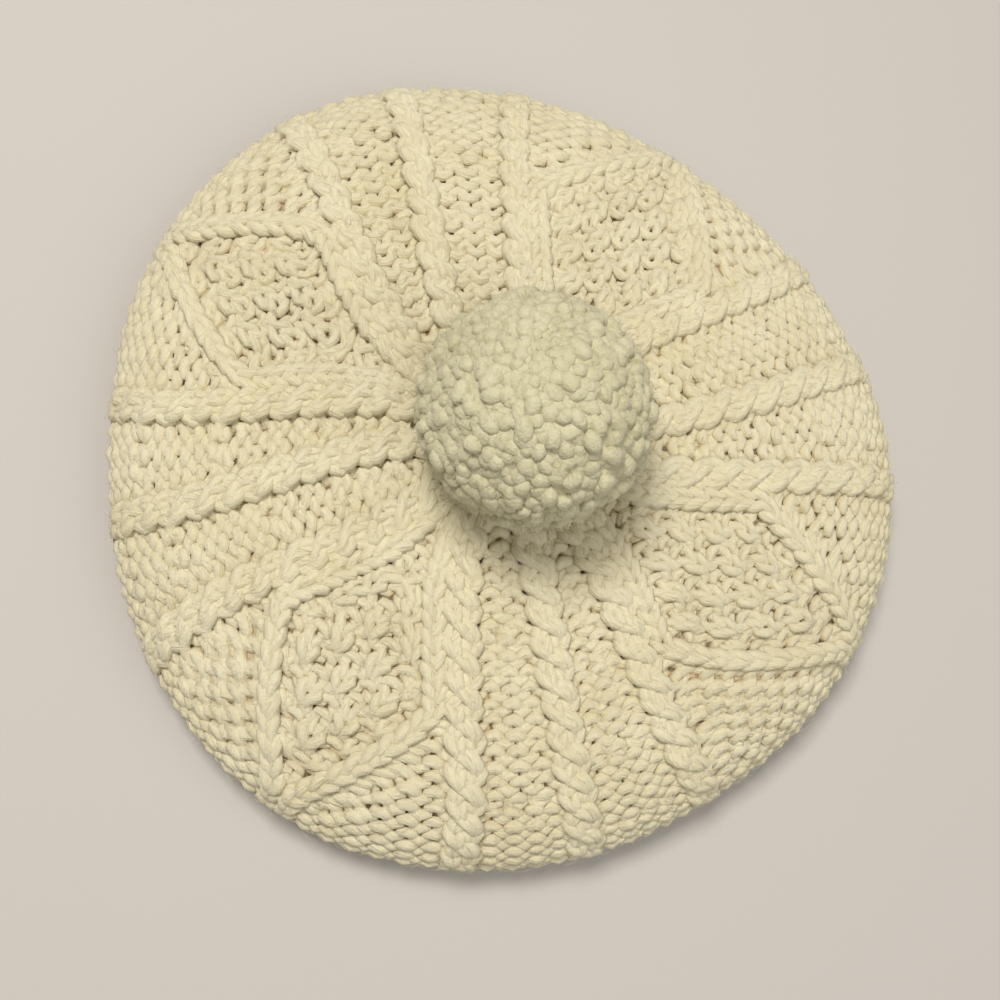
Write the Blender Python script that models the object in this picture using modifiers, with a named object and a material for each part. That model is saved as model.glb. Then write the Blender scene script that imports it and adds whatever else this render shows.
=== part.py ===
"""A hand-knitted tam o' shanter lying on a flat surface: cabled crown, ribbed head band and pompom.

Metres, +Z up. The origin is on the surface, under the middle of the crown's outline.
"""

import bmesh
import bpy
import numpy as np

# Sizes of the pieces
CROWN_WIDTH = 0.260
CROWN_HEIGHT = 0.041
HEAD_OPENING = 0.128
BAND_HEIGHT = 0.019
BAND_FLARE = 0.0122
POMPOM_DIAMETER = 0.068

# Knitted walls, and how far the stitch patterns stand up from them
CROWN_WALL = 0.004
BAND_WALL = 0.004
CABLE_WIDTH = 0.0125
CABLE_RISE = 0.0025
DIAMOND_RISE = 0.001
RIB_COUNT = 24
RIB_RISE = 0.0006

# Clearances where the pieces are sewn or knitted together
SEAM_GAP = 0.0003
POMPOM_GAP = 0.0003
SEAT_MARGIN = 0.001

# Width of the flat lips that meet face to face in the seam, and height of the band's upright hem
SEAM_LIP = 0.002
HEM_HEIGHT = 0.002

# Where the decreases of the crown meet, and how far the pompom leans from there:
# (x, y) as shares of half the crown's width and of the pompom's diameter
KNIT_CENTRE = (-0.077, 0.006)
POMPOM_LEAN = (0.074, 0.022)

# The pompom's height over its diameter, and how high its middle sits, as a share of half its height
POMPOM_SQUASH = 0.97
POMPOM_LIFT = 0.92

# The outline seen from above, every 30 degrees anticlockwise from +X: half width as a share of
# half the crown's width
OUTLINE = (
    ("east", 1.000),
    ("east_north_east", 0.955),
    ("north_north_east", 0.940),
    ("north", 0.990),
    ("north_north_west", 1.055),
    ("west_north_west", 1.045),
    ("west", 1.000),
    ("west_south_west", 1.020),
    ("south_south_west", 1.035),
    ("south", 0.995),
    ("south_south_east", 0.965),
    ("east_south_east", 0.990),
)

# The twelve cables, in four groups of three with a diamond between two groups. Each cable's
# direction from the knit centre, in degrees: at the rim, half way and near the top
CABLES = (
    ("east_first", 357.5, 354.5, 348.0),
    ("east_middle", 377.0, 373.0, 368.0),
    ("east_last", 395.5, 397.0, 405.0),
    ("north_first", 450.5, 450.5, 444.5),
    ("north_middle", 469.0, 471.5, 477.5),
    ("north_last", 485.0, 489.5, 499.0),
    ("west_first", 534.5, 533.5, 523.0),
    ("west_middle", 551.0, 550.5, 543.5),
    ("west_last", 570.0, 569.5, 576.0),
    ("south_first", 621.5, 618.0, 609.0),
    ("south_middle", 639.5, 639.0, 642.0),
    ("south_last", 659.0, 659.5, 668.0),
)
CABLES_IN_GROUP = 3
# Shares of the way to the rim where the three directions above are taken
CABLE_AT_RIM, CABLE_HALF_WAY, CABLE_NEAR_TOP = 1.00, 0.62, 0.28

# Edge lines of the mesh: across one cable, as shares of its half width with the share of its rise,
# then in the plain panel and in the diamond field that lie between two cables
ACROSS_CABLE = ((-1.0, 0.0), (-0.5, 1.0), (0.5, 1.0), (1.0, 0.0))
PANEL_LINES = 1
DIAMOND_LINES = 4
# The widest that half a cable may be, as a share of the gap to the next cable
CABLE_CROWDING = 0.42

# The crown's top, from the pompom's seat to the rim. out: share of the way from the knit centre to
# the rim. up: share of the crown's height. cable: share of the cables' rise. diamond: half width of
# the diamond as a share of half the field between its cables
CROWN_TOP = (
    ("swell", 0.30, 1.000, 0.9, 0.05),
    ("middle", 0.54, 0.965, 1.0, 0.80),
    ("shoulder", 0.76, 0.870, 1.0, 0.85),
    ("brow", 0.92, 0.680, 1.0, 0.20),
    ("rim", 1.00, 0.390, 0.8, 0.00),
)
SEAT_UP = 0.975

# The crown's underside, from the rim to the seam. out: share of the way from the seam to the rim.
# up: share of the band's height. cable: share of the cables' rise
CROWN_UNDER = (
    ("heel", 0.92, 0.31, 0.3),
    ("sole", 0.78, 0.06, 0.0),
    ("floor", 0.62, 0.00, 0.0),
    ("instep", 0.38, 0.15, 0.0),
    ("rise", 0.16, 0.60, 0.0),
)

# The band's outer face above its hem. out: share of the flare, without the lip. up: share of the
# band's height, above the hem. rib: share of the ribs' rise
BAND_FACE = (
    ("cuff", 0.00, 0.00, 1.0),
    ("lower", 0.14, 0.24, 1.0),
    ("middle", 0.46, 0.54, 1.0),
    ("upper", 0.80, 0.84, 0.5),
    ("fold", 1.00, 1.00, 0.0),
)

# Rings between two rows of the crown's tables
CROWN_STEPS = 2
POMPOM_SEGMENTS = 28
POMPOM_RINGS = 16


def catmull_rom(before, start, end, after, t):
    """The cubic that runs from start to end as t goes from 0 to 1, sloped by the points before and after."""
    slope_in = 0.5 * (end - before)
    slope_out = 0.5 * (after - start)
    rise = end - start
    bend = 3 * rise - 2 * slope_in - slope_out
    twist = slope_in + slope_out - 2 * rise
    return start + t * (slope_in + t * (bend + t * twist))


def outline_reach(direction):
    """Distance from the outline's centre to the rim, on a closed curve through OUTLINE."""
    shares = np.array([share for _, share in OUTLINE])
    count = len(shares)
    place = direction / (2 * np.pi) * count
    index = np.floor(place).astype(int)
    near = [shares[(index + step) % count] for step in (-1, 0, 1, 2)]
    return 0.5 * CROWN_WIDTH * catmull_rom(*near, place - index)


def cable_directions(out):
    """Direction of each cable at a share of the way to the rim: a parabola through its three values."""
    rim, half, near = np.radians([row[1:] for row in CABLES]).T
    out = max(out, CABLE_NEAR_TOP)
    on_rim = (out - CABLE_HALF_WAY) * (out - CABLE_NEAR_TOP)
    on_rim /= (CABLE_AT_RIM - CABLE_HALF_WAY) * (CABLE_AT_RIM - CABLE_NEAR_TOP)
    on_half = (out - CABLE_AT_RIM) * (out - CABLE_NEAR_TOP)
    on_half /= (CABLE_HALF_WAY - CABLE_AT_RIM) * (CABLE_HALF_WAY - CABLE_NEAR_TOP)
    return on_rim * rim + on_half * half + (1 - on_rim - on_half) * near


def column_directions(out, radius):
    """Directions of the lengthwise edge lines at one ring: four to a cable, the rest between them."""
    cables = cable_directions(out)
    gaps = np.diff(np.append(cables, cables[0] + 2 * np.pi))
    narrowest = np.minimum(gaps, np.roll(gaps, 1))
    half = np.minimum(0.5 * CABLE_WIDTH / radius, CABLE_CROWDING * narrowest)
    lines = []
    for index, middle in enumerate(cables):
        following = (index + 1) % len(cables)
        lines += [middle + share * half[index] for share, _ in ACROSS_CABLE]
        start = middle + half[index]
        end = middle + gaps[index] - half[following]
        between = DIAMOND_LINES if following % CABLES_IN_GROUP == 0 else PANEL_LINES
        lines += [start + (end - start) * (step + 1) / (between + 1) for step in range(between)]
    return np.array(lines)


def column_relief(cable, diamond):
    """How far each edge line stands up: on the cables' shoulders, and inside the diamond's outline."""
    across_field = np.linspace(-1, 1, DIAMOND_LINES + 2)[1:-1]
    field = np.clip(1 - np.abs(across_field) / max(diamond, 0.01), 0, 1) * DIAMOND_RISE
    rises = []
    for index in range(len(CABLES)):
        rises += [share * cable * CABLE_RISE for _, share in ACROSS_CABLE]
        rises += list(field) if (index + 1) % CABLES_IN_GROUP == 0 else [0.0] * PANEL_LINES
    return np.array(rises)


def ring(radius, directions, z, relief=0.0, centre=(0.0, 0.0)):
    """One ring of points about a centre, with their relief as the fourth column."""
    x = centre[0] + radius * np.cos(directions)
    y = centre[1] + radius * np.sin(directions)
    return np.stack(np.broadcast_arrays(x, y, z, relief), axis=-1)


def knit_centre():
    return 0.5 * CROWN_WIDTH * np.array(KNIT_CENTRE)


def pompom_lean():
    return POMPOM_DIAMETER * np.array(POMPOM_LEAN)


def pompom_base_radius():
    """Radius of the pompom's flat base, where its lift cuts the ball."""
    return 0.5 * POMPOM_DIAMETER * np.sqrt(1 - POMPOM_LIFT**2)


def seat_radius():
    """The crown is flat this far round the knit centre, so that the pompom's base sits on it."""
    return pompom_base_radius() + np.hypot(*pompom_lean()) + SEAT_MARGIN


def band_seam_radius():
    return 0.5 * HEAD_OPENING + BAND_WALL + BAND_FLARE


def seam_directions():
    """Directions of the edge lines at the seam: evenly spread, and turned to twist the crown least."""
    at_rim = column_directions(1.0, 0.5 * CROWN_WIDTH)
    even = np.arange(len(at_rim)) * 2 * np.pi / len(at_rim)
    return even + np.mean(at_rim - even)


def crown_rows():
    """The rings that the crown's outer face runs through, from the knit centre to the lip at the seam."""
    half_width = 0.5 * CROWN_WIDTH
    centre = knit_centre()
    rows = []
    for radius in (0.0, seat_radius()):
        lines = column_directions(0.0, seat_radius())
        rows.append(ring(radius, lines, SEAT_UP * CROWN_HEIGHT, centre=centre))
    for _, out, up, cable, diamond in CROWN_TOP:
        lines = column_directions(out, out * half_width)
        relief = column_relief(cable, diamond)
        rows.append(ring(out * outline_reach(lines), lines, up * CROWN_HEIGHT, relief, (1 - out) * centre))
    rim_lines = lines
    seam_lines = seam_directions()
    lip = band_seam_radius() + SEAM_GAP + SEAM_LIP
    for _, out, up, cable in CROWN_UNDER:
        lines = out * rim_lines + (1 - out) * seam_lines
        reach = lip + out * (outline_reach(lines) - lip)
        rows.append(ring(reach, lines, up * BAND_HEIGHT, column_relief(cable, 0.0)))
    rows.append(ring(lip, seam_lines, BAND_HEIGHT))
    return np.array(rows)


def through_rows(rows, steps):
    """A smooth surface through the rows: between two of them, steps rings on Catmull-Rom curves."""
    first = 2 * rows[0] - rows[1]
    last = 2 * rows[-1] - rows[-2]
    padded = np.concatenate([[first], rows, [last]])
    rings = []
    for index in range(len(rows) - 1):
        near = padded[index : index + 4]
        rings += [catmull_rom(*near, step / steps) for step in range(steps)]
    rings.append(rows[-1])
    return np.array(rings)


def outward(points):
    """Unit normals of a grid of points that is closed round its rings."""
    along = np.gradient(points, axis=0)
    around = np.roll(points, -1, axis=1) - np.roll(points, 1, axis=1)
    normal = np.cross(along, around)
    return normal / np.maximum(np.linalg.norm(normal, axis=-1, keepdims=True), 1e-12)


def crown_rings():
    """The crown's outer face with its cables and diamonds raised, and the lip that meets the band."""
    rings = through_rows(crown_rows(), CROWN_STEPS)
    points = rings[..., :3] + outward(rings[..., :3]) * rings[..., 3:]
    edge = ring(band_seam_radius() + SEAM_GAP, seam_directions(), BAND_HEIGHT)
    return np.concatenate([points, [edge[:, :3]]])


def band_rings():
    """The band's outer face from the lip that meets the crown down to the hem, with its ribs."""
    lines = seam_directions()
    ribs = np.cos((lines - lines[0]) * RIB_COUNT) * RIB_RISE
    hem_radius = 0.5 * HEAD_OPENING + BAND_WALL
    slope_width = BAND_FLARE - SEAM_LIP
    slope_height = BAND_HEIGHT - HEM_HEIGHT
    rings = [ring(hem_radius + ribs, lines, 0.0)]
    for _, out, up, rib in BAND_FACE:
        radius = hem_radius + out * slope_width + rib * ribs
        rings.append(ring(radius, lines, HEM_HEIGHT + up * slope_height))
    rings.append(ring(band_seam_radius(), lines, BAND_HEIGHT))
    return np.array(rings[::-1])[..., :3]


def knitted_shell(name, rings, wall, closed_top):
    """An object from rings of points, joined by faces that look outwards, with Solidify for its wall."""
    count = rings.shape[1]
    points = rings[1:].reshape(-1, 3) if closed_top else rings.reshape(-1, 3)
    row_count = len(points) // count
    corners = np.arange(row_count * count).reshape(row_count, count)
    near, far = corners[:-1], corners[1:]
    quads = np.stack([near, far, np.roll(far, -1, axis=1), np.roll(near, -1, axis=1)], axis=-1)
    faces = quads.reshape(-1, 4).tolist()
    vertices = points.tolist()
    if closed_top:
        vertices.append(rings[0].mean(axis=0).tolist())
        faces += [(len(points), int(a), int(b)) for a, b in zip(corners[0], np.roll(corners[0], -1))]
    mesh = bpy.data.meshes.new(name)
    mesh.from_pydata(vertices, [], faces)
    mesh.shade_smooth()
    obj = bpy.data.objects.new(name, mesh)
    solid = obj.modifiers.new("knitted wall", "SOLIDIFY")
    solid.thickness = wall
    solid.offset = -1.0
    solid.use_even_offset = True
    return obj


def pompom_ball(name):
    """A ball cut flat at the base, standing on the crown's seat a little aside from the knit centre."""
    ball = bmesh.new()
    bmesh.ops.create_uvsphere(
        ball, u_segments=POMPOM_SEGMENTS, v_segments=POMPOM_RINGS, radius=0.5 * POMPOM_DIAMETER
    )
    bmesh.ops.scale(ball, vec=(1.0, 1.0, POMPOM_SQUASH), verts=ball.verts)
    half_height = 0.5 * POMPOM_DIAMETER * POMPOM_SQUASH
    base = -POMPOM_LIFT * half_height
    everything = ball.verts[:] + ball.edges[:] + ball.faces[:]
    bmesh.ops.bisect_plane(
        ball, geom=everything, dist=1e-6, plane_co=(0, 0, base), plane_no=(0, 0, -1), clear_outer=True
    )
    rim_edges = [edge for edge in ball.edges if edge.is_boundary]
    bmesh.ops.contextual_create(ball, geom=rim_edges)
    bmesh.ops.recalc_face_normals(ball, faces=ball.faces)
    mesh = bpy.data.meshes.new(name)
    ball.to_mesh(mesh)
    ball.free()
    mesh.shade_smooth()
    mesh.set_sharp_from_angle(angle=np.radians(40))
    obj = bpy.data.objects.new(name, mesh)
    place = knit_centre() + pompom_lean()
    obj.location = (place[0], place[1], SEAT_UP * CROWN_HEIGHT + POMPOM_GAP - base)
    return obj


def wool(name, colour, roughness):
    material = bpy.data.materials.new(name)
    material.use_nodes = True
    shader = material.node_tree.nodes["Principled BSDF"]
    shader.inputs["Base Color"].default_value = (*colour, 1.0)
    shader.inputs["Roughness"].default_value = roughness
    shader.inputs["Metallic"].default_value = 0.0
    return material


for old in list(bpy.data.objects):
    bpy.data.objects.remove(old, do_unlink=True)

collection = bpy.data.collections.new("tam o' shanter")
bpy.context.scene.collection.children.link(collection)

crown_points = crown_rings()
crown = knitted_shell("crown", crown_points, CROWN_WALL, closed_top=True)
crown.data.materials.append(wool("cream aran wool", (0.80, 0.73, 0.48), 0.9))

band = knitted_shell("band", band_rings(), BAND_WALL, closed_top=False)
band.data.materials.append(wool("cream ribbed wool", (0.78, 0.71, 0.47), 0.9))

pompom = pompom_ball("pompom")
pompom.data.materials.append(wool("pale cut wool", (0.72, 0.68, 0.50), 0.95))

# The pieces hang on an empty that puts the middle of the crown's outline over the origin
tam = bpy.data.objects.new("tam", None)
middle = 0.5 * (crown_points.max(axis=(0, 1)) + crown_points.min(axis=(0, 1)))
tam.location = (-middle[0], -middle[1], 0.0)
collection.objects.link(tam)
for piece in (crown, band, pompom):
    collection.objects.link(piece)
    piece.parent = tam
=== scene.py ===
"""The looks of a hand-knitted tam o' shanter: every stitch a loop of yarn, and a pompom of cut ends."""

import bpy
import numpy as np
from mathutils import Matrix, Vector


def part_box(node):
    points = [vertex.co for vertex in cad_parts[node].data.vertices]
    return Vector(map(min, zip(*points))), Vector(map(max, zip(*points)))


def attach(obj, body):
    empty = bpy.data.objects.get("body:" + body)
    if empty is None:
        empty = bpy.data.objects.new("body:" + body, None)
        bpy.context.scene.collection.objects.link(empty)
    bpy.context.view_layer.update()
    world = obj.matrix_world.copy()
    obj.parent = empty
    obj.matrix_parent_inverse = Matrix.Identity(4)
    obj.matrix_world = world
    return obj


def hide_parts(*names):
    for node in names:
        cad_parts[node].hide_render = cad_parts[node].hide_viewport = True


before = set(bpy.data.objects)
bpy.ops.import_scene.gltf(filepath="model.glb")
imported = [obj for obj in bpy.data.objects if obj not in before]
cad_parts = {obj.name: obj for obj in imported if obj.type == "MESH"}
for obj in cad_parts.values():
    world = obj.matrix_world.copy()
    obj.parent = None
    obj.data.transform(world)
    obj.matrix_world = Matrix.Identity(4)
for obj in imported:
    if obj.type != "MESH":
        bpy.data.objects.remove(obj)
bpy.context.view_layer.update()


# The wall behind the loops
# A thin shell behind the loops, so no light passes between them; its outer side, seen through the gaps
# between the stitches, is painted dark as painted shade. Wall and stitches follow one ground, a face of
# revolution a little out of round, whose top lies beside the hat's middle.
band_low, band_high = (np.array(corner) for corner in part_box("band"))
crown_high = np.array(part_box("crown")[1])

# How far cables rise out of the ground, and the share of it that they rise at the very top
cable_rise, rise_at_top = 0.0025, 0.9
wall_thickness = 0.004
crown_half_width = 0.130
crown_height = crown_high[2] - rise_at_top * cable_rise
band_height = band_high[2] - wall_thickness
hem_radius = 0.068
seam_radius = 0.25 * (band_high - band_low)[:2].sum()
seam_lip = 0.002
axis = 0.5 * (band_low + band_high)[:2]
knit_centre = np.array((-0.077, 0.006)) * crown_half_width
# The flat seat under the pompom reaches to this share of the way out
seat_share = 0.15

# Half width of the outline over the crown's half width, every 30 degrees anticlockwise from +X
outline = np.array((1.000, 0.955, 0.940, 0.990, 1.055, 1.045, 1.000, 1.020, 1.035, 0.995, 0.965, 0.990))

# Band from the hem up: share of the flare outwards, share of the height
band_face = ((0.00, 0.00), (0.00, 0.10), (0.12, 0.32), (0.39, 0.59), (0.67, 0.86), (0.84, 1.00), (1.00, 1.00))
# Underside from the seam out: share of the way from the seam to the rim, share of the band's height
underside = ((0.00, 1.00), (0.16, 0.60), (0.38, 0.15), (0.62, 0.00), (0.78, 0.06), (0.92, 0.31))
# Top from the rim in: share of the way from the knit centre to the rim, share of the crown's height
top = ((1.00, 0.390), (0.92, 0.680), (0.76, 0.870), (0.54, 0.965), (0.30, 1.000))
top += ((seat_share, 0.975), (0.00, 0.975))
# Places worked out on each span between two rows of these tables
span_steps = 24

# Steps along and around the ground over which its slopes are taken, and the least metres to a radian
slope_step, slope_turn = 0.0012, 0.01
least_scale = 0.0015

# Height of one round of knitting
round_pitch = 0.00475
# How far the wall lies behind the ground, how thick it is, and how close to the floor it comes
web_depth, web_thickness, web_clearance = 0.0036, 0.0005, 0.0008
web_directions = 180


def unit(vectors):
    """Each vector over its own length."""
    return vectors / np.maximum(np.linalg.norm(vectors, axis=-1, keepdims=True), 1e-12)


def smooth_span(before, start, end, after, t):
    """The cubic from start to end as t goes from 0 to 1, with half the chord past each end as its slope."""
    slope_in = 0.5 * (end - before)
    slope_out = 0.5 * (after - start)
    rise = end - start
    bend = 3 * rise - 2 * slope_in - slope_out
    return start + t * (slope_in + t * (bend + t * (slope_in + slope_out - 2 * rise)))


def outline_reach(direction):
    """Distance from the middle to the rim: a closed row of smooth spans through the outline's shares."""
    place = direction / (2 * np.pi) * len(outline)
    index = np.floor(place).astype(int)
    near = [outline[(index + step) % len(outline)] for step in (-1, 0, 1, 2)]
    return crown_half_width * smooth_span(*near, place - index)


def meridian_rows():
    """Rows of radius, height, share of the outline's unevenness and share of the shift to the knit centre."""
    lip = seam_radius + seam_lip
    flare, reach = seam_radius - hem_radius, crown_half_width - lip
    rows = [(hem_radius + out * flare, up * band_height, 0.0, 0.0) for out, up in band_face]
    rows += [(lip + out * reach, up * band_height, out, 0.0) for out, up in underside]
    rows += [(out * crown_half_width, up * crown_height, out, 1 - out) for out, up in top]
    return np.array(rows)


def dense_meridian():
    """The smooth meridian through the rows, with the length along it from the hem as a fifth column."""
    rows = meridian_rows()
    padded = np.concatenate([[2 * rows[0] - rows[1]], rows, [2 * rows[-1] - rows[-2]]])
    t = np.arange(span_steps)[:, None] / span_steps
    spans = [smooth_span(*padded[index : index + 4], t) for index in range(len(rows) - 1)]
    curve = np.concatenate([*spans, rows[-1:]])
    length = np.append(0, np.cumsum(np.hypot(*np.diff(curve[:, :2], axis=0).T)))
    return np.column_stack([curve, length])


meridian = dense_meridian()
meridian_length = meridian[-1, 4]


def along_meridian(length):
    """Radius, height, outline share and centre share at a length from the hem."""
    return [np.interp(length, meridian[:, 4], meridian[:, column]) for column in range(4)]


def ground(length, direction):
    """Point of the outer face: the meridian turned to a direction, its radius stretched to the outline."""
    radius, height, uneven, shift = along_meridian(length)
    radius = radius + uneven * (outline_reach(direction) - crown_half_width)
    x = axis[0] + shift * knit_centre[0] + radius * np.cos(direction)
    y = axis[1] + shift * knit_centre[1] + radius * np.sin(direction)
    return np.stack([x, y, height], axis=-1)


def ground_frame(length, direction):
    """Point, outward normal and metres to a radian: the normal is the cross product of both slopes."""
    around = ground(length, direction + slope_turn) - ground(length, direction - slope_turn)
    around = around / (2 * slope_turn)
    onward = ground(length + slope_step, direction) - ground(length - slope_step, direction)
    scale = np.maximum(np.linalg.norm(around, axis=-1), least_scale)
    return ground(length, direction), unit(np.cross(around, onward)), scale


def wall_faces(low, high, turns):
    """Quads between rings of points, one ring from each number in low to the same place in high."""
    spoke = np.arange(turns)[None, :]
    following = (spoke + 1) % turns
    low, high = low[:, None], high[:, None]
    return np.stack([low + spoke, low + following, high + following, high + spoke], axis=-1).reshape(-1, 4)


def new_piece(name, vertices, faces):
    """A smooth mesh in the scene, with its place in its points."""
    mesh = bpy.data.meshes.new(name)
    mesh.from_pydata(vertices, [], faces)
    mesh.shade_smooth()
    piece = bpy.data.objects.new(name, mesh)
    bpy.context.scene.collection.objects.link(piece)
    return piece


def mark_painted_shade(piece, amount):
    """Stores on each point how much painted shade its colour takes, from 0 to 1."""
    attribute = piece.data.attributes.new("painted_shade", "FLOAT", "POINT")
    attribute.data.foreach_set("value", amount.astype(np.float32).ravel())


def ring_mesh(name, rings):
    """A closed surface through rings of points, from first to last, with a flat face over either end."""
    count, turns = rings.shape[:2]
    low = np.arange(count - 1) * turns
    spoke = np.arange(turns)
    caps = [spoke[::-1].tolist(), ((count - 1) * turns + spoke).tolist()]
    return new_piece(name, rings.reshape(-1, 3), wall_faces(low, low + turns, turns).tolist() + caps)


def web_mesh(name):
    """A thin closed shell from the hem to the top: the ground moved in, and back with its thickness more."""
    length = np.arange(0.5 * round_pitch, meridian_length, round_pitch)
    direction = np.arange(web_directions) * 2 * np.pi / web_directions
    length, direction = np.meshgrid(length, direction, indexing="ij")
    place, normal, _ = ground_frame(length, direction)
    outer, inner = place - normal * web_depth, place - normal * (web_depth + web_thickness)
    rings = np.concatenate([inner[::-1], outer])
    rings[..., 2] = np.maximum(rings[..., 2], web_clearance)
    web = ring_mesh(name, rings)
    # The outer side takes full painted shade and the inner side none
    mark_painted_shade(web, np.repeat((0.0, 1.0), inner.size // 3))
    return web


# Fineness of the hairs, of matted fibres, of the patches of tone, and of the fibres wound into a yarn
hair_scale, mat_scale, patch_scale, wound_scale = 1100.0, 420.0, 45.0, 3.2
# Turns of the plies along one girth of yarn, and the scale of the wound fibres along it beside across it
ply_twist, fibre_stretch = 0.35, 0.30
# Height of the plies and of the fibres beside that of the hairs, and the height of them all in metres
ply_height, fibre_height_share, bump_distance = 0.12, 2.0, 0.0008
cream, cream_shade = (0.82, 0.755, 0.54), (0.76, 0.68, 0.45)


def wool(name, colour, shade, plies, painted_shade_colour=None):
    """Matt wool whose tone is a little uneven, and goes over to painted_shade_colour where its mesh is marked
    with painted shade.

    Its height is a noise for the hairs, and for a yarn also the sine of the turn round it, times the plies,
    and a noise drawn out along its length.
    """
    material = bpy.data.materials.new(name)
    material.use_nodes = True
    tree = material.node_tree
    shader = tree.nodes["Principled BSDF"]

    def node(kind, inputs=(), **settings):
        made = tree.nodes.new(kind)
        for key, value in settings.items():
            setattr(made, key, value)
        for key, value in dict(inputs).items():
            if isinstance(value, bpy.types.NodeSocket):
                tree.links.new(value, made.inputs[key])
            else:
                made.inputs[key].default_value = value
        return made

    def maths(operation, *values):
        return node("ShaderNodeMath", dict(enumerate(values)), operation=operation).outputs[0]

    def noise(place, scale, detail, roughness=0.5):
        inputs = {"Vector": place, "Scale": scale, "Detail": detail, "Roughness": roughness}
        return node("ShaderNodeTexNoise", inputs).outputs["Fac"]

    object_place = node("ShaderNodeTexCoord").outputs["Object"]
    height = noise(object_place, hair_scale, 3.0)
    fibre = noise(object_place, mat_scale, 2.0)
    if plies:
        yarn_place = node("ShaderNodeUVMap", uv_map="along yarn").outputs["UV"]
        along = node("ShaderNodeSeparateXYZ", {"Vector": yarn_place}).outputs
        turn = maths("MULTIPLY", maths("MULTIPLY_ADD", along["X"], ply_twist, along["Y"]), 2 * np.pi)
        drawn = maths("MULTIPLY", along["X"], fibre_stretch)
        across, up = maths("COSINE", turn), maths("SINE", turn)
        wound = node("ShaderNodeCombineXYZ", {"X": drawn, "Y": across, "Z": up}).outputs["Vector"]
        fibre = noise(wound, wound_scale, 4.0, roughness=0.65)
        ply = maths("SINE", maths("MULTIPLY", turn, float(plies)))
        height = maths("MULTIPLY_ADD", ply, ply_height, height)
        height = maths("MULTIPLY_ADD", fibre, fibre_height_share, height)
    bump = node("ShaderNodeBump", {"Height": height, "Strength": 0.65, "Distance": bump_distance})
    tree.links.new(bump.outputs["Normal"], shader.inputs["Normal"])

    uneven = maths("ADD", noise(object_place, patch_scale, 3.0), fibre)
    limits = {"Value": uneven, "From Min": 0.75, "From Max": 1.15}
    spread = node("ShaderNodeMapRange", limits).outputs["Result"]
    tones = {"Factor": spread, "A": (*shade, 1.0), "B": (*colour, 1.0)}
    tone = node("ShaderNodeMix", tones, data_type="RGBA")
    # Painted shade: the colour goes over to painted_shade_colour as far as the mesh's mark says
    if painted_shade_colour:
        painted_shade = node("ShaderNodeAttribute", attribute_name="painted_shade").outputs["Fac"]
        painted_shade_mix = {"Factor": painted_shade, "A": tone.outputs["Result"], "B": (*painted_shade_colour, 1.0)}
        tone = node("ShaderNodeMix", painted_shade_mix, data_type="RGBA")
    tree.links.new(tone.outputs["Result"], shader.inputs["Base Color"])
    shader.inputs["Roughness"].default_value = 0.95
    shader.inputs["Specular IOR Level"].default_value = 0.15
    shader.inputs["Sheen Weight"].default_value = 0.3
    shader.inputs["Sheen Roughness"].default_value = 0.5
    shader.inputs["Sheen Tint"].default_value = (1.0, 0.97, 0.88, 1.0)
    return material


# The web's outer side goes over to dark brown, painted shade seen through the gaps between the stitches
web_wool_painted_shade = wool("wool with painted gap shade", cream, cream_shade, plies=0, painted_shade_colour=(0.24, 0.185, 0.11))
web = web_mesh("painted_shade_web")
web.data.materials.append(web_wool_painted_shade)
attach(web, "root")
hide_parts("crown")


# The crown
# A flat round bag of thick three-ply wool, knitted in rounds from the band out to the rim and in to the
# top: twelve cables in four groups, purled panels, and diamonds of moss stitch in the four wide fields.
first_round = 1.15
yarn_radius = 0.00196
cable_yarn_radius = 0.00195
moss_yarn_radius = 0.00168
loop_height = 0.00397
loop_depth = 0.00125
# How far the head of a purl stitch stands out past its foot, half each way
head_forward = 0.00030
# How far the yarn swings out beside a straight slope, as a share of the stitch: V-shaped legs, round heads
leg_spread, head_spread = 0.29, 0.19
stitch_in_rib = np.radians(3.75)
cable_half_width = 0.0048
# Cables on the +Y side are narrower by this share, and those on the -Y side wider
cable_narrowing = 0.13
# A cable takes up at most this share of the way to the next, and under the last width it is one stitch
cable_share, two_stitch_width = 0.42, 0.0048
border_width = 0.0064
# Stitches of a cable, a panel, a plain field and a border line in the band
rib_stitches = (2, 2, 6, 1)
# Stitches from one knit pair of the rib to the next
rib_repeat = 4
# The knitting ends this far before the middle of the top, and no round is worked out at a smaller radius
end_gap, least_radius = 0.003, 0.002

# Directions of the cables in degrees, at the rim, half way in and near the top
cable_groups, group_cables = 4, 3
cable_table = np.radians(
    (
        (357.5, 354.5, 348.0),
        (377.0, 373.0, 368.0),
        (395.5, 397.0, 405.0),
        (450.5, 450.5, 444.5),
        (469.0, 471.5, 477.5),
        (485.0, 489.5, 499.0),
        (534.5, 533.5, 523.0),
        (551.0, 550.5, 543.5),
        (570.0, 569.5, 576.0),
        (621.5, 618.0, 609.0),
        (639.5, 639.0, 642.0),
        (659.0, 659.5, 668.0),
    )
)
table_shares = (1.00, 0.62, 0.28)
diamond_outer_tip = 0.955
diamond_corners = (0.66, 0.66, 0.65, 0.61)
# How far the outer tip of each diamond is turned from the middle of its field
diamond_turns = np.radians((0.0, 0.0, 0.0, 3.0))
field_kinds = ["cable", "panel", "cable", "panel", "cable", "plain", "border", "moss", "border", "plain"]
field_kinds *= cable_groups
is_cable, is_panel, is_plain, is_border, is_moss = (
    np.array([kind == name for kind in field_kinds]) for name in ("cable", "panel", "plain", "border", "moss")
)

# Width of a purl stitch in the band, and what it gains at the rim and loses over the top and at its middle
band_stitch, rim_gain, top_loss, middle_loss = 0.0053, 0.0014, 0.0006, 0.0012
# The loss over the top starts and ends this far inside it, and the last one starts this far before the end
top_loss_margin, middle_loss_reach = 0.03, 0.05
# A purl stitch beside the diamonds is this much wider than one between two cables
plain_stretch = 1.18
# The last stitch of such a field is at least this share of a whole one, and moss starts at this share
least_rest, least_moss = 0.3, 0.6

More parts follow.
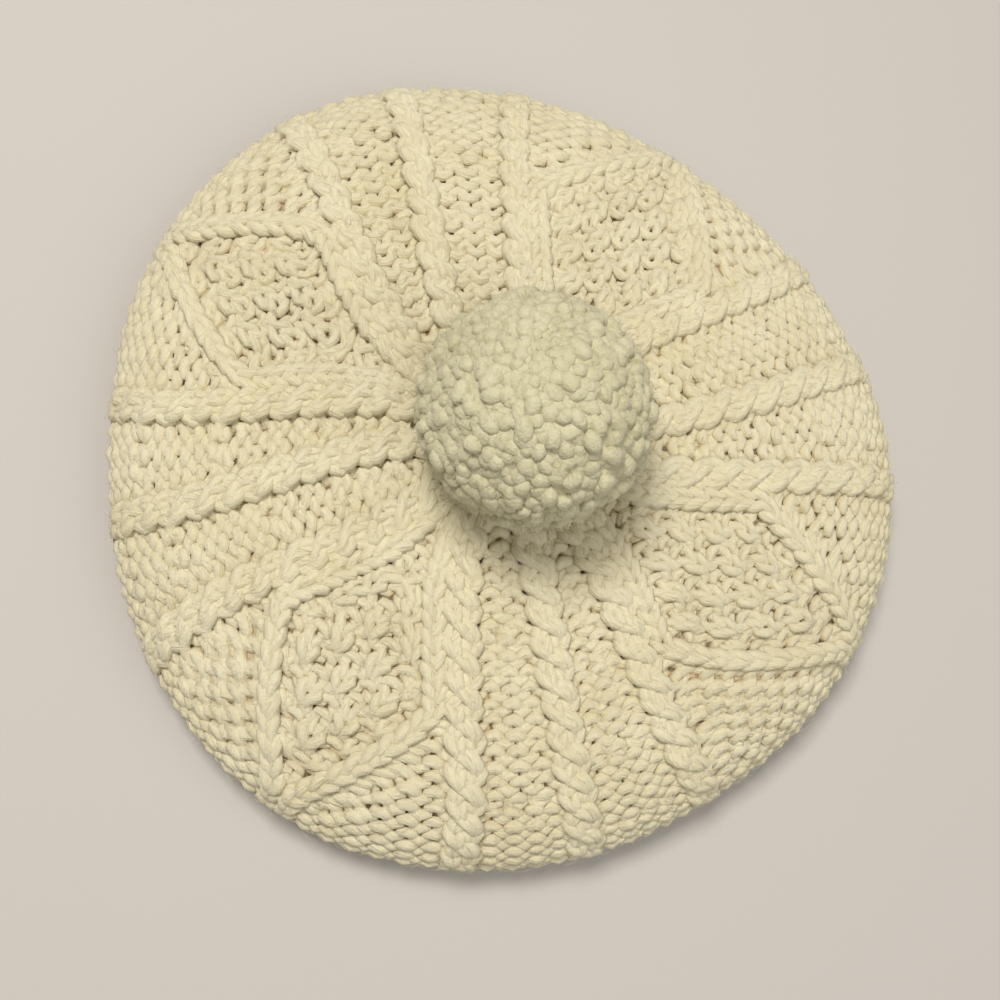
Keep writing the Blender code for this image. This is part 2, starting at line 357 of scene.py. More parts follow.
# How far stitches stand out of the ground, with the last of a field lower; knit moss stands up half each way
purl_lift, last_purl_lift = -0.0003, -0.0012
moss_lift, last_moss_lift = -0.0003, -0.0009
moss_relief = 0.0009
cable_lift, border_lift, rib_lift = 0.0010, 0.0011, 0.0004
# Under the rim this share of a lift is left, and it grows over this way past the rim
lift_under_rim = 0.15
growth_start, lift_growth, rope_growth = -0.004, 0.020, 0.024


def smooth_step(low, high, value):
    """0 below low, 1 above high, and a cubic between them."""
    t = np.clip((value - low) / (high - low), 0, 1)
    return t * t * (3 - 2 * t)


band_part = meridian[: (len(band_face) - 1) * span_steps + 1]
seam_length = np.interp(seam_radius, band_part[:, 0], band_part[:, 4])
rim_length = meridian[np.argmax(meridian[:, 0]), 4]
round_count = int((meridian_length - end_gap) / round_pitch - first_round)
rounds = np.arange(round_count)
round_length = (rounds + first_round) * round_pitch
band_rounds = int(np.ceil(seam_length / round_pitch - first_round))


def cable_directions(length):
    """Parabola through the table from the rim in, and a smooth turn to even spacing on the underside."""
    radius = along_meridian(length)[0]
    out = np.where(length >= rim_length, radius / crown_half_width, 1.0)
    out = np.clip(out, table_shares[2], 1.0)[:, None]
    rim, half, near = (column[None, :] for column in cable_table.T)
    a, b, c = table_shares
    on_rim = (out - b) * (out - c) / ((a - b) * (a - c))
    on_half = (out - a) * (out - c) / ((b - a) * (b - c))
    on_top = on_rim * rim + on_half * half + (1 - on_rim - on_half) * near
    group_start = np.arange(cable_groups).repeat(group_cables) * 2 * np.pi / cable_groups
    even = group_start + np.tile(np.arange(group_cables) * rib_repeat * stitch_in_rib, cable_groups)
    even = even + np.mean(cable_table[:, 0] - even)
    under = 1 - smooth_step(seam_length, rim_length, length)[:, None]
    return on_top + under * (even - rim)


def field_edges(length):
    """Directions where each of the forty fields of a round starts, and where the last one ends."""
    radius = np.maximum(along_meridian(length)[0], least_radius)[:, None]
    cables = cable_directions(length)
    gaps = np.diff(np.column_stack([cables, cables[:, :1] + 2 * np.pi]))
    narrow = np.minimum(gaps, np.roll(gaps, 1, axis=1))
    worked = smooth_step(seam_length - round_pitch, seam_length + round_pitch, length)[:, None]
    half_width = cable_half_width * (1 - cable_narrowing * np.sin(cables))
    half = stitch_in_rib + worked * (np.minimum(half_width / radius, cable_share * narrow) - stitch_in_rib)
    edges = []
    for group, corner in enumerate(diamond_corners):
        first, middle, last = (group_cables * group + place for place in range(group_cables))
        following = (last + 1) % len(cable_table)
        turn = 2 * np.pi * (following == 0)
        for cable in (first, middle, last):
            edges += [cables[:, cable] - half[:, cable], cables[:, cable] + half[:, cable]]
        start = cables[:, last] + half[:, last]
        end = cables[:, following] + turn - half[:, following]
        centre, reach = 0.5 * (start + end), 0.5 * (end - start)
        out = np.where(length >= rim_length, radius[:, 0] / crown_half_width, 1.0)
        turned = smooth_step(corner, diamond_outer_tip, out) * (worked[:, 0] > 0)
        centre = centre + diamond_turns[group] * turned
        line = stitch_in_rib + worked[:, 0] * (border_width / radius[:, 0] - stitch_in_rib)
        line = np.minimum(line, 0.5 * reach)
        opened = np.clip((diamond_outer_tip - out) / (diamond_outer_tip - corner), 0, 1)
        opened = opened * np.minimum(corner / out, 1)
        moss = opened * np.maximum(reach - line, 0)
        edges += [centre - moss - line, centre - moss, centre + moss, centre + moss + line]
    edges.append(edges[0] + 2 * np.pi)
    return np.stack(edges, axis=1)


def stitch_size(length):
    """Width of a purl stitch: widest at the rim, drawn in towards the band and the top."""
    size = band_stitch + rim_gain * smooth_step(seam_length, rim_length, length)
    size -= top_loss * smooth_step(rim_length + top_loss_margin, meridian_length - top_loss_margin, length)
    return size - middle_loss * smooth_step(meridian_length - middle_loss_reach, meridian_length, length)


def stitch_counts(edges, length):
    """Stitches in each field of each round: its width over a stitch's, odd in the moss, two to a cable."""
    radius = along_meridian(length)[0][:, None]
    width = np.diff(edges, axis=1) * radius
    stitch = stitch_size(length)[:, None] * np.where(is_plain, plain_stretch, 1.0)
    counts = np.round(width / stitch)
    counts = np.where(is_cable, np.where(width > two_stitch_width, 2, 1), counts)
    counts = np.where(is_border, 1, counts)
    odd = 2 * np.round((width / stitch - 1) / 2) + 1
    counts = np.where(is_moss, np.where(width > least_moss * stitch, odd, 0), counts)
    ribbed = np.select([is_cable, is_panel, is_plain, is_border], rib_stitches, 0)
    counts = np.where((np.arange(len(length)) < band_rounds)[:, None], ribbed, counts)
    return counts.astype(int)


edges = field_edges(round_length)
counts = stitch_counts(edges, round_length)
round_of = np.repeat(rounds, counts.sum(axis=1))
field_of = np.repeat(np.tile(np.arange(len(field_kinds)), round_count), counts.ravel())
place_of = np.arange(len(round_of)) - np.repeat(np.cumsum(counts.ravel()) - counts.ravel(), counts.ravel())

# Where a field's stitches keep their places from round to round: its high edge, or its middle
anchor = np.where(is_plain, 1.0, 0.5)
# Added before rounding, so that a half is always rounded up
half_up = 0.01


def neighbour_in(step):
    """Round and place of the stitch above (step 1) or below (step -1), and whether that field has any."""
    near = np.clip(round_of + step, 0, round_count - 1)
    here, there = counts[round_of, field_of], counts[near, field_of]
    place = place_of + np.round(anchor[field_of] * (there - here) + half_up).astype(int)
    return near, np.clip(place, 0, np.maximum(there - 1, 0)), there


def share_of(round_index, place, count):
    """Middle and width of a stitch as shares of its field.

    Even, but in a plain field all are whole, counted from its high edge, and the last takes what is left.
    """
    width = edges[round_index, field_of + 1] - edges[round_index, field_of]
    length = (round_index + first_round) * round_pitch
    whole = np.minimum(plain_stretch * stitch_size(length) / along_meridian(length)[0], width)
    whole = whole / np.maximum(width, 1e-6)
    rest = np.maximum(1 - (count - 1) * whole, least_rest * whole)
    scale = 1 / ((count - 1) * whole + rest)
    from_edge = count - 1 - place
    last = from_edge == count - 1
    size = np.where(last, rest, whole) * scale
    middle = 1 - np.where(last, (count - 1) * whole + 0.5 * rest, (from_edge + 0.5) * whole) * scale
    straight = is_plain[field_of] & (round_index >= band_rounds) & (count > 1)
    count = np.maximum(count, 1)
    return np.where(straight, middle, (place + 0.5) / count), np.where(straight, size, 1 / count)


def direction_of(round_index, place, count):
    """Middle of a stitch in its field. An empty field is one point."""
    low, high = edges[round_index, field_of], edges[round_index, field_of + 1]
    return low + share_of(round_index, place, count)[0] * (high - low)


def knit_or_purl(round_index, place, count):
    """+1 for a knit stitch and -1 for a purl. Moss changes every stitch and every second round."""
    checker = np.where((place - (count - 1) // 2 + round_index // 2) % 2 == 0, 1.0, -1.0)
    rib = np.where((round_index < band_rounds) & (place // 2 == 1), 1.0, -1.0)
    return np.select([is_cable[field_of] | is_border[field_of], is_moss[field_of]], [1.0, checker], rib)


def lift_of(round_index, place, count):
    """How far a stitch's middle stands out of the ground, lowest in the purl beside a cable."""
    knit = knit_or_purl(round_index, place, count)
    beside = (place == 0) | (place == count - 1)
    purl = np.where(beside, last_purl_lift, purl_lift)
    moss = np.where(beside, last_moss_lift, moss_lift) + moss_relief * knit
    kinds = [is_cable[field_of], is_border[field_of], is_moss[field_of]]
    wanted = np.select(kinds, [cable_lift, border_lift, moss], purl)
    length = (round_index + first_round) * round_pitch
    on_top = smooth_step(rim_length + growth_start, rim_length + lift_growth, length)
    ribbed = np.where(knit > 0, rib_lift, -rib_lift)
    grown = wanted * (lift_under_rim + (1 - lift_under_rim) * on_top)
    return np.where(round_index < band_rounds, ribbed, grown)


here_count = counts[round_of, field_of]
direction_here = direction_of(round_of, place_of, here_count)
knit_here = knit_or_purl(round_of, place_of, here_count)
lift_here = lift_of(round_of, place_of, here_count)
round_above, place_above, count_above = neighbour_in(1)
direction_above = direction_of(round_above, place_above, count_above)
knit_above = np.where(count_above > 0, knit_or_purl(round_above, place_above, count_above), knit_here)
lift_above = lift_of(round_above, place_above, count_above)
round_below, place_below, count_below = neighbour_in(-1)
direction_below = direction_of(round_below, place_below, count_below)
lift_below = lift_of(round_below, place_below, count_below)

# Two-stitch cables: in a round with an even number the right stitch lies in front and crosses to the
# left, so the two columns wind round each other like the strands of a rope. They start two rounds up.
roped = is_cable[field_of] & (here_count == 2) & (count_above == 2) & (round_of >= band_rounds + 2)
even_round = round_of % 2 == 0
right_side = place_of == 1
strand_phase = np.select(
    [even_round & right_side, even_round & ~right_side, ~even_round & ~right_side],
    [0.25 * np.pi, 1.25 * np.pi, 0.75 * np.pi],
    1.75 * np.pi,
)
# A strand of a cable rests at the side and crosses quickly: 0 is an even winding, 0.5 stops at the side
cable_dwell = 0.30
# How far a strand swings aside as a share of the cable's half width, and how wide its stitches stay
strand_swing, strand_width = 0.56, 0.9
# How far it goes in and out, and the share of that under the rim
cable_depth, depth_under_rim = 0.0012, 0.4


def field_middle(round_index):
    """Direction half way between a field's edges."""
    return 0.5 * (edges[round_index, field_of] + edges[round_index, field_of + 1])


direction_here = np.where(roped, field_middle(round_of), direction_here)
direction_above = np.where(roped, field_middle(round_above), direction_above)
direction_below = np.where(roped, field_middle(round_below), direction_below)

# Each stitch is one wave of the round's yarn: up one leg, over the head and down the other, with the
# feet and head behind the legs in a knit stitch and before them in a purl. Heads lean to the stitch above.
points_per_stitch = 12
yarn_sides = 6
# Unevenness of a hand's stitches: shares of height and depth, metres sideways and a share of a round
uneven_height, uneven_depth, uneven_side, uneven_round = 0.05, 0.10, 0.00016, 0.035
# Knit goes over to purl while the wave is this near its middle height, as a share of it
turn_over = 0.35
# Turn of the wave past which the yarn leaves its leg, and past which it evens out with the next stitch
leg_end, foot_start = 0.5 * np.pi, 0.6 * np.pi
# Depth of the yarn's middle behind the ground, and what is added to it up to just below the rim
yarn_inset, inset_below = 0.0026, 0.0008
inset_from, inset_to = 0.025, 0.005
# The yarn swells and thins by this share, over this many points
swell_share, swell_points = 0.05, 32
rng = np.random.default_rng(1912)

stitch_total = len(round_of)
round_start = np.searchsorted(round_of, rounds)
round_end = np.append(round_start[1:], stitch_total)
right_of = np.arange(stitch_total) + 1
right_of[round_end - 1] = round_start
left_of = np.arange(stitch_total) - 1
left_of[round_start] = round_end - 1

jitter_height = 1 + uneven_height * rng.standard_normal(stitch_total)[:, None]
jitter_depth = 1 + uneven_depth * rng.standard_normal(stitch_total)[:, None]
jitter_side = uneven_side * rng.standard_normal(stitch_total)[:, None]
jitter_round = uneven_round * rng.standard_normal(stitch_total)[:, None]

angle = np.linspace(-np.pi, np.pi, points_per_stitch + 1)[None, :]
rise = loop_height * np.cos(angle) * jitter_height
level = rise / round_pitch + jitter_round * (0.5 + 0.5 * np.cos(angle))
above, below = np.clip(level, 0, None), np.clip(-level, 0, None)


def blend(here, up, down):
    """A quantity on the way from the stitch below through this one to the stitch above."""
    return here[:, None] + (up - here)[:, None] * above + (down - here)[:, None] * below


length_along = (round_of[:, None] + first_round + level) * round_pitch
middle = blend(direction_here, direction_above, direction_below)
centre_scale = ground_frame(length_along, middle)[2]
phase = strand_phase[:, None] + level * np.pi / 2
phase = phase - cable_dwell * np.sin(2 * phase)
half_field = 0.5 * (edges[round_of, field_of + 1] - edges[round_of, field_of])[:, None]
on_top = smooth_step(rim_length + growth_start, rim_length + rope_growth, length_along)
rope_side = np.where(roped[:, None], strand_swing * half_field * np.cos(phase), 0)
rope_reach = cable_depth * (depth_under_rim + (1 - depth_under_rim) * on_top)
rope_depth = np.where(roped[:, None], rope_reach * np.sin(phase), 0)
middle = middle + rope_side

stitch_width = 2 * half_field * share_of(round_of, place_of, here_count)[1][:, None] * centre_scale
stitch_width = np.where(roped[:, None], strand_width * stitch_width, stitch_width)
swing = np.where(knit_here > 0, leg_spread, head_spread)[:, None] * stitch_width
foot = middle[:, 0]
gap_right = (foot[right_of] - foot + np.pi) % (2 * np.pi) - np.pi
gap_left = (foot - foot[left_of] + np.pi) % (2 * np.pi) - np.pi
half_gap = 0.5 * np.where(angle > 0, gap_right[:, None], gap_left[:, None]) * centre_scale
past_leg = smooth_step(leg_end, np.pi, np.abs(angle))
sideways = stitch_width * angle / (2 * np.pi) + swing * np.sin(2 * angle)
sideways = sideways + np.sign(angle) * (half_gap - 0.5 * stitch_width) * past_leg
sideways = sideways + jitter_side * (1 - past_leg)
direction = middle + sideways / centre_scale

upper = smooth_step(-turn_over, turn_over, np.cos(angle))
sign = knit_here[:, None] * (1 - upper) + knit_above[:, None] * upper
outwards = -loop_depth * jitter_depth * np.cos(2 * angle) * sign
outwards = outwards + head_forward * np.cos(angle) * (knit_here < 0)[:, None]
outwards = outwards + blend(lift_here, lift_above, lift_below) + rope_depth
foot_right, foot_left = outwards[:, -1], outwards[:, 0]
shared_right = 0.5 * (foot_right + foot_left[right_of])
shared_left = 0.5 * (foot_left + foot_right[left_of])
near_foot = smooth_step(foot_start, np.pi, np.abs(angle))
shift = np.where(angle > 0, (shared_right - foot_right)[:, None], (shared_left - foot_left)[:, None])
outwards = outwards + shift * near_foot

past_underside = smooth_step(rim_length - inset_from, rim_length - inset_to, length_along)
inset = yarn_inset + inset_below * (1 - past_underside)
place, normal, _ = ground_frame(length_along, direction)
yarn = (place + normal * (outwards - inset)[..., None])[:, :-1]
yarn_normal = normal[:, :-1]
yarn_depth = outwards[:, :-1]
swell = rng.standard_normal(stitch_total * points_per_stitch + swell_points - 2)
swell = np.convolve(swell, np.hanning(swell_points)[1:], mode="valid")
swell = (1 + swell_share * swell / swell.std()).reshape(yarn.shape[:2])
stitch_yarn = np.select([roped, is_moss[field_of]], [cable_yarn_radius, moss_yarn_radius], yarn_radius)
thickness = swell * stitch_yarn[:, None]
thickness = 0.25 * (np.roll(thickness, 1, axis=1) + 2 * thickness + np.roll(thickness, -1, axis=1))
yarn[..., 2] = np.maximum(yarn[..., 2], thickness)

yarn = yarn.reshape(-1, 3)
yarn_normal = yarn_normal.reshape(-1, 3)
yarn_depth, yarn_thickness = yarn_depth.ravel(), thickness.ravel()
# A point of the yarn takes no painted shade from the first of these heights up and full painted shade from
# the second down, and so much of the yarn's inner side never takes it, as the sine of the turn round it
open_height, full_shade_height = 0.0006, -0.0018
inner_side, outer_side = -0.9, -0.3


def yarn_mesh(name, first, last):
    """Closed tubes along the rounds from first to last: circles square to the yarn, joined by quads."""
    start, end = round_start[first] * points_per_stitch, round_end[last - 1] * points_per_stitch
    path, radius = yarn[start:end], yarn_thickness[start:end]
    onward = np.arange(len(path)) + 1
    ends = round_end[first:last] * points_per_stitch - start
    onward[ends - 1] = round_start[first:last] * points_per_stitch - start
    backward = np.empty_like(onward)
    backward[onward] = np.arange(len(path))
    tangent = unit(path[onward] - path[backward])
    side = unit(np.cross(tangent, yarn_normal[start:end]))
    up = np.cross(side, tangent)
    turn = np.arange(yarn_sides) * 2 * np.pi / yarn_sides
    circle = np.cos(turn)[:, None] * side[:, None, :] + np.sin(turn)[:, None] * up[:, None, :]
    vertices = (path[:, None, :] + radius[:, None, None] * circle).reshape(-1, 3)
    low = np.arange(len(path)) * yarn_sides
    piece = new_piece(name, vertices, wall_faces(low, onward * yarn_sides, yarn_sides))

    step = np.linalg.norm(path[onward] - path, axis=1)
    run = np.cumsum(step) - step
    girth = 2 * np.pi * yarn_radius
    ring, spoke = np.meshgrid(np.arange(len(path)), np.arange(yarn_sides), indexing="ij")
    u0, u1 = run[ring] / girth, (run + step)[ring] / girth
    v0, v1 = spoke / yarn_sides, (spoke + 1) / yarn_sides
    corners = [np.stack(corner, axis=-1) for corner in ((u0, v0), (u0, v1), (u1, v1), (u1, v0))]
    uv = np.stack(corners, axis=2).astype(np.float32)
    piece.data.uv_layers.new(name="along yarn").data.foreach_set("uv", uv.ravel())
    height = yarn_depth[start:end, None] + radius[:, None] * np.sin(turn)[None, :]
    painted_shade = smooth_step(open_height, full_shade_height, height)
    mark_painted_shade(piece, painted_shade * smooth_step(inner_side, outer_side, np.sin(turn))[None, :])
    return piece


# Deep between the stitches the yarn goes over to warm brown: painted shade
cream_wool = wool("cream wool", cream, cream_shade, plies=3, painted_shade_colour=(0.56, 0.37, 0.17))
# The first round of each piece of the crown and the round after its last
crown_parts = {
    "crown_under_inner": (band_rounds, band_rounds + 8),
    "crown_under_outer": (band_rounds + 8, band_rounds + 16),
    "crown_rim": (band_rounds + 16, band_rounds + 24),
    "crown_side": (band_rounds + 24, band_rounds + 33),
    "crown_top": (band_rounds + 33, round_count),
}
for part_name, (first, last) in crown_parts.items():
    part = yarn_mesh(part_name, first, last)
    part.data.materials.append(cream_wool)
    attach(part, "root")
    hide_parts("crown")


# The head band
# Two-by-two rib in the same wool, on which the knitting was begun. It is drawn in a little, so it grips
# the head, and flares out at its upper edge, where the crown's first round is worked on to it.
band = yarn_mesh("head_band", 0, band_rounds)
band.data.materials.append(cream_wool)
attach(band, "root")
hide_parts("band")


# The loose fibres
# Wool is hairy: single fibres work loose from the yarn and lie over the stitches and the gaps between
# them. Each is a thin three-sided spindle that leaves its yarn at a low angle, bends and ends in a point.
fibre_count = 14500
fibre_radius = 0.000055
fibre_length = (0.0025, 0.0065)
fibre_height = (0.0002, 0.0011)
# Chance of a fibre on a stitch further below the rim than this, beside one on any other
below_rim_margin, below_rim_chance = 0.02, 0.35
# Roots lie at this share of the yarn's radius, up to this turn in radians from its outermost line
root_share, root_turn = 0.9, 1.1
# Spread of the turn away from the yarn, and of the bend as a share of the length
way_spread, bend_spread = 0.7, 0.35
# A fibre whose root or tip comes closer to the floor than this is left off
fibre_clearance = 0.0014
# Where a fibre has its two rings, as shares of its length, and how far its arch turns, in radians
fibre_rings, arch_turn = (0.30, 0.70), 2.2
fibre_rng = np.random.default_rng(303)


def repeated(patterns, count, points):
    """Faces of many like shapes: each pattern of corners, moved on by a shape's points for every shape."""
    offset = (np.arange(count) * points)[:, None, None]
    faces = []
    for pattern in patterns:
        faces += (np.array(pattern) + offset).reshape(-1, len(pattern[0])).tolist()
    return faces


def spindles(name, root, tip_way, bend_way, rise_way):
    """Three-sided spindles along root + t tip_way + t squared bend_way + sin(t arch_turn) rise_way.

    The length's share t goes from 0 to 1. Corner 0 is the root, 1 to 6 are the two rings and 7 is the tip.
    """
    def at(t):
        return root + t * tip_way + t * t * bend_way + np.sin(arch_turn * t) * rise_way

    first = unit(rise_way)
    second = np.cross(unit(tip_way), first)
    turn = np.arange(3) * 2 * np.pi / 3
    circle = np.cos(turn)[:, None] * first[:, None] + np.sin(turn)[:, None] * second[:, None]
    rings = [at(t)[:, None] + fibre_radius * circle for t in fibre_rings]
    vertices = np.concatenate([root[:, None], *rings, at(1.0)[:, None]], axis=1)
    ends = [(0, 1 + (side + 1) % 3, 1 + side) for side in range(3)]
    ends += [(7, 4 + side, 4 + (side + 1) % 3) for side in range(3)]
    walls = [(1 + side, 1 + (side + 1) % 3, 4 + (side + 1) % 3, 4 + side) for side in range(3)]
    return new_piece(name, vertices.reshape(-1, 3), repeated((ends, walls), len(root), vertices.shape[1]))


def yarn_fibres(name):
    """Fibres that leave the outer half of the yarn, most of them along it and fewer below the rim."""
    below_rim = np.repeat(round_length[round_of] < rim_length - below_rim_margin, points_per_stitch)
    chance = np.where(below_rim, below_rim_chance, 1.0)
    start = fibre_rng.choice(len(yarn), fibre_count, p=chance / chance.sum())
    outward = yarn_normal[start]
    tangent = yarn[(start + 1) % len(yarn)] - yarn[start]
    tangent = unit(tangent - outward * (tangent * outward).sum(axis=1, keepdims=True))
    side = np.cross(tangent, outward)
    lean = fibre_rng.uniform(-root_turn, root_turn, fibre_count)[:, None]
    out = np.cos(lean) * outward + np.sin(lean) * side
    root = yarn[start] + root_share * yarn_thickness[start, None] * out
    turn = way_spread * fibre_rng.standard_normal(fibre_count)[:, None]
    length = fibre_rng.uniform(*fibre_length, fibre_count)[:, None]
    length = length * fibre_rng.choice((-1.0, 1.0), fibre_count)[:, None]
    way = np.cos(turn) * tangent + np.sin(turn) * side
    bend = bend_spread * fibre_rng.standard_normal(fibre_count)[:, None]
    rise = fibre_rng.uniform(*fibre_height, fibre_count)[:, None]
    tip_way, bend_way, rise_way = length * way, bend * length * np.cross(way, outward), rise * outward
    kept = np.minimum(root[:, 2], (root + tip_way + bend_way)[:, 2]) > fibre_clearance
    return spindles(name, root[kept], tip_way[kept], bend_way[kept], rise_way[kept])


fibres = yarn_fibres("loose_fibres")
fibres.data.materials.append(cream_wool)
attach(fibres, "root")


# The pompom
# Hundreds of lengths of softer, paler yarn tied in the middle and clipped to a ball. Only the cut ends
# show, as small round tufts pressed against each other; the tie goes down through the crown.
pompom_low, pompom_high = (np.array(corner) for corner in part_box("pompom"))
pompom_radius = 0.5 * (pompom_high - pompom_low)[0]
pompom_squash = 0.97
pompom_centre = 0.5 * (pompom_low + pompom_high)
pompom_centre[2] = pompom_high[2] - pompom_squash * pompom_radius
tuft_count = 1500
tuft_radius = 0.0024
tuft_height = 0.0075
# Rings of one tuft from its root to its tip: share of its height, share of its radius
tuft_profile = np.array(((0.0, 0.8), (0.45, 1.0), (0.80, 0.98), (0.93, 0.80), (0.985, 0.46)))
tuft_sides = 8
# Scatter of the tufts over the ball and of their tilt, as shares of its radius
tuft_scatter, tuft_tilt = 0.022, 0.16
# How far their ends lie inside the ball and how unevenly, and how far the middle of an end stands up
clip_depth, clip_unevenness, end_dome = 0.0006, 0.0008, 0.0001
# Least and most width and length over width of a tuft, and the unevenness of its rings
tuft_widths, tuft_ovals, tuft_lumps = (0.85, 1.2), (1.0, 1.5), 0.10


def turned_frames(axes, turns):
    """Two unit vectors square to each axis and to each other, turned about it."""
    helper = np.where(np.abs(axes[:, 2:]) < 0.9, (0.0, 0.0, 1.0), (1.0, 0.0, 0.0))
    first = unit(np.cross(axes, helper))
    second = np.cross(axes, first)
    cos, sin = np.cos(turns)[:, None], np.sin(turns)[:, None]
    return first * cos + second * sin, second * cos - first * sin


def tuft_ball(name):
    """Tufts at evenly spread points of the ball: small domes along the radius, a little tilted and oval."""
    index = np.arange(tuft_count) + 0.5
    height = 1 - 2 * index / tuft_count
    around = index * np.pi * (3 - np.sqrt(5))
    level_radius = np.sqrt(1 - height**2)
    ball = np.stack([level_radius * np.cos(around), level_radius * np.sin(around), height], axis=1)
    ball = unit(ball + tuft_scatter * rng.standard_normal(ball.shape))
    axes = unit(ball + tuft_tilt * rng.standard_normal(ball.shape))
    reach = pompom_radius - clip_depth + clip_unevenness * rng.standard_normal(tuft_count)
    tip = ball * (1, 1, pompom_squash) * reach[:, None]
    along, across = turned_frames(axes, rng.uniform(0, 2 * np.pi, tuft_count))
    wide = tuft_radius * rng.uniform(*tuft_widths, tuft_count)
    oval = rng.uniform(*tuft_ovals, tuft_count)
    root = tip - axes * tuft_height
    turn = np.arange(tuft_sides) * 2 * np.pi / tuft_sides
    lump = 1 + tuft_lumps * rng.standard_normal((tuft_count, 1, tuft_sides))
    radius = tuft_profile[None, :, 1, None] * lump * wide[:, None, None]
    up = (tuft_profile[:, 0] * tuft_height)[None, :, None, None]
    rings = root[:, None, None, :] + axes[:, None, None, :] * up
    rings = rings + (radius * np.cos(turn) * oval[:, None, None])[..., None] * along[:, None, None, :]
    rings = rings + (radius * np.sin(turn))[..., None] * across[:, None, None, :]
    tips = (tip + axes * end_dome)[:, None, :]
    vertices = np.concatenate([rings.reshape(tuft_count, -1, 3), tips], axis=1) + pompom_centre
    vertices[..., 2] = np.maximum(vertices[..., 2], pompom_low[2])
    per_tuft = vertices.shape[1]
    low = np.arange(len(tuft_profile) - 1) * tuft_sides
    last = low[-1] + tuft_sides + np.arange(tuft_sides)
    cap = np.stack([last, np.roll(last, -1), np.full(tuft_sides, per_tuft - 1)], axis=-1)
    base = np.arange(tuft_sides)[None, ::-1]
    patterns = (wall_faces(low, low + tuft_sides, tuft_sides), cap, base)
    return new_piece(name, vertices.reshape(-1, 3), repeated(patterns, tuft_count, per_tuft))


pale_wool = wool("pale pompom wool", (0.61, 0.575, 0.395), (0.535, 0.495, 0.315), plies=0)
tufts = tuft_ball("pompom_tufts")
tufts.data.materials.append(pale_wool)
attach(tufts, "root")
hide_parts("pompom")


# The heart of the pompom
# Behind their cut ends the lengths of yarn are packed too close to see between. This is the ball that
# they make round the tie, cut flat where it sits on the crown.
core_depth = 0.0016
core_clearance = 0.0005
core_end_slope = 0.48 * np.pi
core_levels, core_turns = 33, 64
slope, turn = np.meshgrid(
    np.linspace(-core_end_slope, core_end_slope, core_levels),
    np.arange(core_turns) * 2 * np.pi / core_turns,
    indexing="ij",
)
core_rings = np.stack([np.cos(slope) * np.cos(turn), np.cos(slope) * np.sin(turn), np.sin(slope)], axis=-1)
core_rings = pompom_centre + core_rings * (1, 1, pompom_squash) * (pompom_radius - core_depth)
core_rings[..., 2] = np.maximum(core_rings[..., 2], pompom_low[2] + core_clearance)
core = ring_mesh("pompom_core", core_rings)
core.data.materials.append(pale_wool)
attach(core, "root")
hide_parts("pompom")


# The pompom's fuzz
# Clipping leaves single fibres of the pale wool between the ends of the yarn. They are short and stand
# out of the ball on all sides but its flat base, each a little askew.
fuzz_count = 3200
# Where it starts below the pompom's middle as a share of its radius, and how deep the roots lie
fuzz_lowest, fuzz_depth = -0.75, 0.0012
# Least and most length, the lean aside as a share of it, and how far each fibre bends and arches
fuzz_length, fuzz_spread = (0.0016, 0.0034), 0.55
fuzz_bend, fuzz_arch = 0.0010, 0.0003


def pompom_fibres(name, count):
    """Short fibres that stand out of the pompom's tufts at all angles near the radius."""
    ball = unit(fibre_rng.standard_normal((count, 3)))
    ball = ball[ball[:, 2] > fuzz_lowest]
    root = pompom_centre + ball * (1, 1, pompom_squash) * (pompom_radius - fuzz_depth)
    way = ball + fuzz_spread * fibre_rng.standard_normal(ball.shape)
    way *= fibre_rng.uniform(*fuzz_length, len(ball))[:, None]
    first, second = turned_frames(ball, fibre_rng.uniform(0, 2 * np.pi, len(ball)))
    return spindles(name, root, way, fuzz_bend * first, fuzz_arch * second)


fuzz = pompom_fibres("pompom_fibres", fuzz_count)
fuzz.data.materials.append(pale_wool)
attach(fuzz, "root")


# Floor, light and camera
# A plain pale floor, a large soft lamp at the upper left of the picture and a weaker one opposite. The
# camera looks down at 76 degrees with +Y upwards.
floor_size = 6.0
bpy.ops.mesh.primitive_plane_add(size=floor_size)
floor = bpy.context.object
floor.name = "floor"
floor_paint = bpy.data.materials.new("pale floor")
floor_paint.use_nodes = True
floor_shader = floor_paint.node_tree.nodes["Principled BSDF"]
floor_shader.inputs["Base Color"].default_value = (0.54, 0.515, 0.485, 1.0)
floor_shader.inputs["Roughness"].default_value = 0.85
floor.data.materials.append(floor_paint)


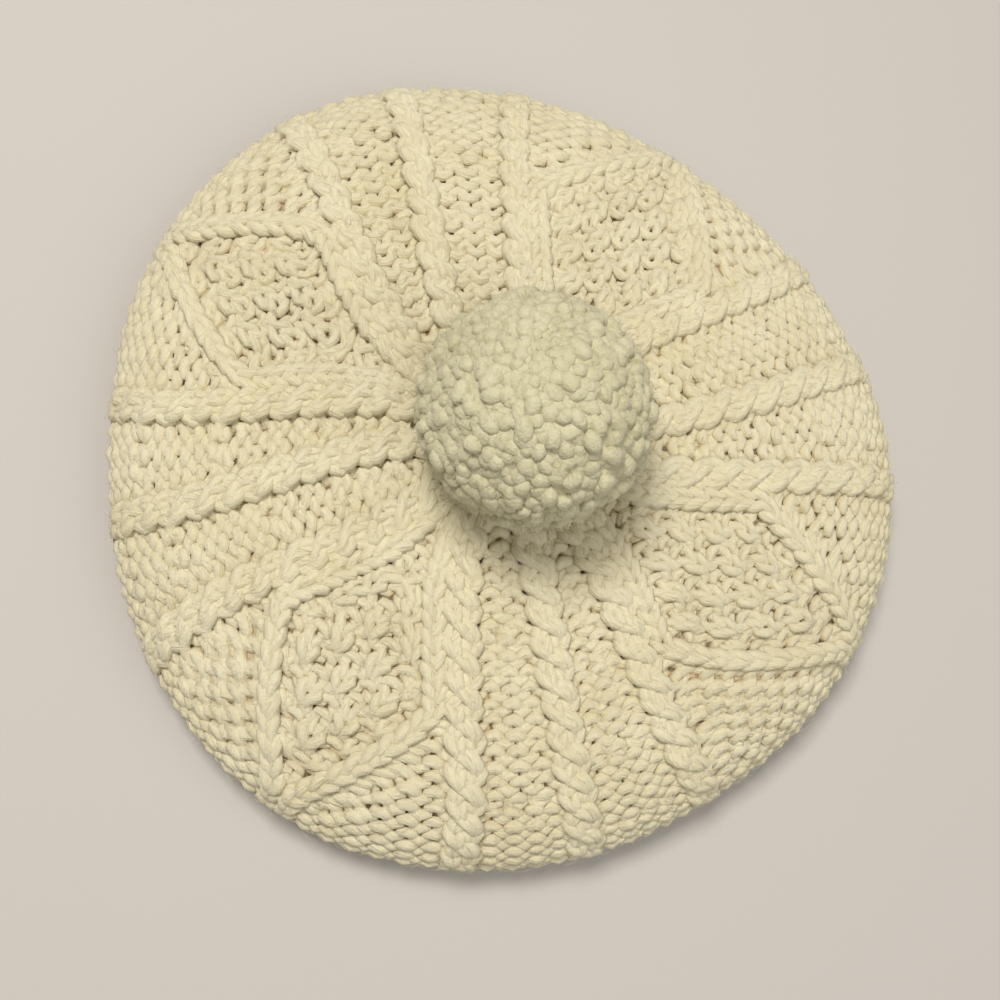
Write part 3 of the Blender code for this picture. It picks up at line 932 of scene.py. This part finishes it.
def look_at(obj, place, target, upright=(0.0, 0.0, 1.0)):
    """Turns an object so that its -Z points at the target and its +Y leans towards upright."""
    back = unit(np.array(place) - np.array(target))
    right = unit(np.cross(upright, back))
    matrix = np.eye(4)
    matrix[:3, 0], matrix[:3, 1], matrix[:3, 2], matrix[:3, 3] = right, np.cross(back, right), back, place
    obj.matrix_world = matrix.T.tolist()


lamp_target = (0.0, 0.0, 0.03)


def soft_lamp(name, place, size, power, colour):
    """A square lamp, its side in metres and its power in watts, turned to the hat."""
    lamp = bpy.data.lights.new(name, "AREA")
    lamp.size = size
    lamp.energy = power
    lamp.color = colour
    obj = bpy.data.objects.new(name, lamp)
    bpy.context.scene.collection.objects.link(obj)
    look_at(obj, place, lamp_target)


soft_lamp("key lamp", place=(-0.35, 0.38, 1.30), size=0.45, power=15.3, colour=(1.0, 0.965, 0.90))
soft_lamp("fill lamp", place=(0.6, -0.6, 1.2), size=1.6, power=8.6, colour=(1.0, 0.98, 0.95))
world = bpy.data.worlds.new("room")
world.use_nodes = True
world.node_tree.nodes["Background"].inputs["Color"].default_value = (1.0, 0.97, 0.92, 1.0)
world.node_tree.nodes["Background"].inputs["Strength"].default_value = 0.24
bpy.context.scene.world = world

camera_azimuth, camera_elevation, camera_distance = np.radians(-40.0), np.radians(76.0), 0.405
camera_target = np.array((-0.0069, -0.0142, 0.020))
camera_half_view = np.radians(21.7)
camera_back = np.array(
    (
        np.sin(camera_azimuth) * np.cos(camera_elevation),
        -np.cos(camera_azimuth) * np.cos(camera_elevation),
        np.sin(camera_elevation),
    )
)
camera_data = bpy.data.cameras.new("camera")
camera_data.sensor_width = 36.0
camera_data.lens = 0.5 * camera_data.sensor_width / np.tan(camera_half_view)
camera_data.clip_start = 0.01
camera = bpy.data.objects.new("camera", camera_data)
bpy.context.scene.collection.objects.link(camera)
look_at(camera, camera_target + camera_back * camera_distance, camera_target, upright=(0.0, 1.0, 0.0))
bpy.context.scene.camera = camera
bpy.context.scene.view_settings.view_transform = "Standard"
